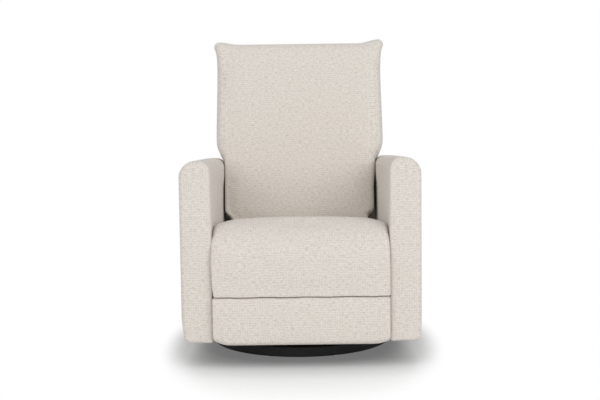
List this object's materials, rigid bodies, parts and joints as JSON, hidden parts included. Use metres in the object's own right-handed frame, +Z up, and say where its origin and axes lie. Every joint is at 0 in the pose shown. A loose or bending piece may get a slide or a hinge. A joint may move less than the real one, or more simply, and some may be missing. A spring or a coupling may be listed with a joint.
{
  "type": "glider nursery chair",
  "caption": "Upholstered swivel glider armchair with a tall reclining back, slim arms, deep waterfall seat, fold-out footrest and a round black base.",
  "frame": {"origin": "point on the floor under the swivel axis, which is the middle of the chair's outline", "axes": "+Z up, the front faces -Y, +X to the right seen from the front"},
  "size_m": [0.764, 0.8896, 1.0899],
  "materials": {
    "cream_fabric": "matte",
    "black_metal": "satin",
    "frame_wood": "matte",
    "nylon": "matte",
    "spring_steel": "satin",
    "zinc_steel": "satin"
  },
  "bodies": {
    "base": {"base_ring": "black_metal", "cross_bars": "black_metal", "floor_glides": "nylon", "lower_race": "zinc_steel", "ring_screws": "zinc_steel", "race_screws": "zinc_steel"},
    "ball_ring": {"ball_cage": "nylon", "bearing_balls": "zinc_steel"},
    "carriage": {"upper_race": "zinc_steel", "centre_bolt": "zinc_steel", "centre_washer": "zinc_steel", "centre_nut": "zinc_steel", "carriage_bars": "black_metal", "carriage_bracket_left": "black_metal", "carriage_bracket_right": "black_metal", "carriage_screws": "zinc_steel", "upper_glide_pins": "zinc_steel"},
    "front_links": {"front_link_left": "black_metal", "front_link_right": "black_metal", "front_link_bushings": "nylon"},
    "rear_links": {"rear_link_left": "black_metal", "rear_link_right": "black_metal", "rear_link_bushings": "nylon"},
    "chair": {"side_plate_left": "black_metal", "side_plate_right": "black_metal", "lower_glide_pins": "zinc_steel", "front_cross_tube": "black_metal", "rear_cross_tube": "black_metal", "side_rail_left": "frame_wood", "side_rail_right": "frame_wood", "front_rail": "frame_wood", "rear_rail": "frame_wood", "deck_rail": "frame_wood", "seat_springs": "spring_steel", "spring_clips": "nylon", "arm_frame_left": "frame_wood", "arm_frame_right": "frame_wood", "arm_left": "cream_fabric", "arm_right": "cream_fabric", "seat_cushion": "cream_fabric", "rear_panel": "cream_fabric", "frame_bolts": "zinc_steel", "recline_pins": "zinc_steel", "legrest_pins": "zinc_steel"},
    "back": {"hinge_bracket_left": "black_metal", "hinge_bracket_right": "black_metal", "back_frame": "frame_wood", "back_springs": "spring_steel", "back_cushion": "cream_fabric", "back_cover": "cream_fabric", "bracket_screws": "zinc_steel"},
    "legrest_rear_links": {"legrest_rear_links": "black_metal", "torque_tube": "black_metal"},
    "legrest_front_links": {"legrest_front_links": "black_metal"},
    "footrest_arms": {"footrest_arms": "black_metal", "footrest_arm_pins": "zinc_steel"},
    "footrest": {"footrest_brackets": "black_metal", "footrest_board": "frame_wood", "footrest_pad": "cream_fabric", "footrest_screws": "zinc_steel"}
  },
  "joints": [
    {"name": "swivel", "type": "hinge", "parent": "base", "child": "carriage", "pos_m": [0, 0, 0.05605], "axis": [0, 0, 1], "continuous": true},
    {"name": "ball_ring_turn", "type": "hinge", "parent": "base", "child": "ball_ring", "pos_m": [0, 0, 0.05605], "axis": [0, 0, 1], "continuous": true},
    {"name": "glide", "type": "hinge", "parent": "carriage", "child": "front_links", "pos_m": [0, -0.11, 0.19], "axis": [1, 0, 0], "range_deg": [-18, 18]},
    {"name": "rear_glide", "type": "hinge", "parent": "carriage", "child": "rear_links", "pos_m": [0, 0.11, 0.19], "axis": [1, 0, 0], "range_deg": [-18, 18]},
    {"name": "chair_level", "type": "hinge", "parent": "front_links", "child": "chair", "pos_m": [0, -0.11, 0.078], "axis": [1, 0, 0], "range_deg": [-18, 18]},
    {"name": "recline", "type": "hinge", "parent": "chair", "child": "back", "pos_m": [0, 0.17, 0.33], "axis": [-1, 0, 0], "range_deg": [0, 30]},
    {"name": "footrest", "type": "hinge", "parent": "chair", "child": "legrest_rear_links", "pos_m": [0, -0.255, 0.207], "axis": [-1, 0, 0], "range_deg": [0, 130]},
    {"name": "front_fold", "type": "hinge", "parent": "chair", "child": "legrest_front_links", "pos_m": [0, -0.32591, 0.2195], "axis": [-1, 0, 0], "range_deg": [0, 130]},
    {"name": "arm_level", "type": "hinge", "parent": "legrest_rear_links", "child": "footrest_arms", "pos_m": [0, -0.14009, 0.11058], "axis": [-1, 0, 0], "range_deg": [-130, 0]},
    {"name": "footrest_turn", "type": "hinge", "parent": "footrest_arms", "child": "footrest", "pos_m": [0, -0.362, 0.196], "axis": [-1, 0, 0], "range_deg": [0, 88]}
  ],
  "couplings": [
    {"joint": "ball_ring_turn", "follows": "swivel", "ratio": 0.5},
    {"joint": "rear_glide", "follows": "glide", "ratio": 1},
    {"joint": "chair_level", "follows": "glide", "ratio": -1},
    {"joint": "front_fold", "follows": "footrest", "ratio": 1},
    {"joint": "arm_level", "follows": "footrest", "ratio": -1},
    {"joint": "footrest_turn", "follows": "footrest", "ratio": 0.67692}
  ]
}
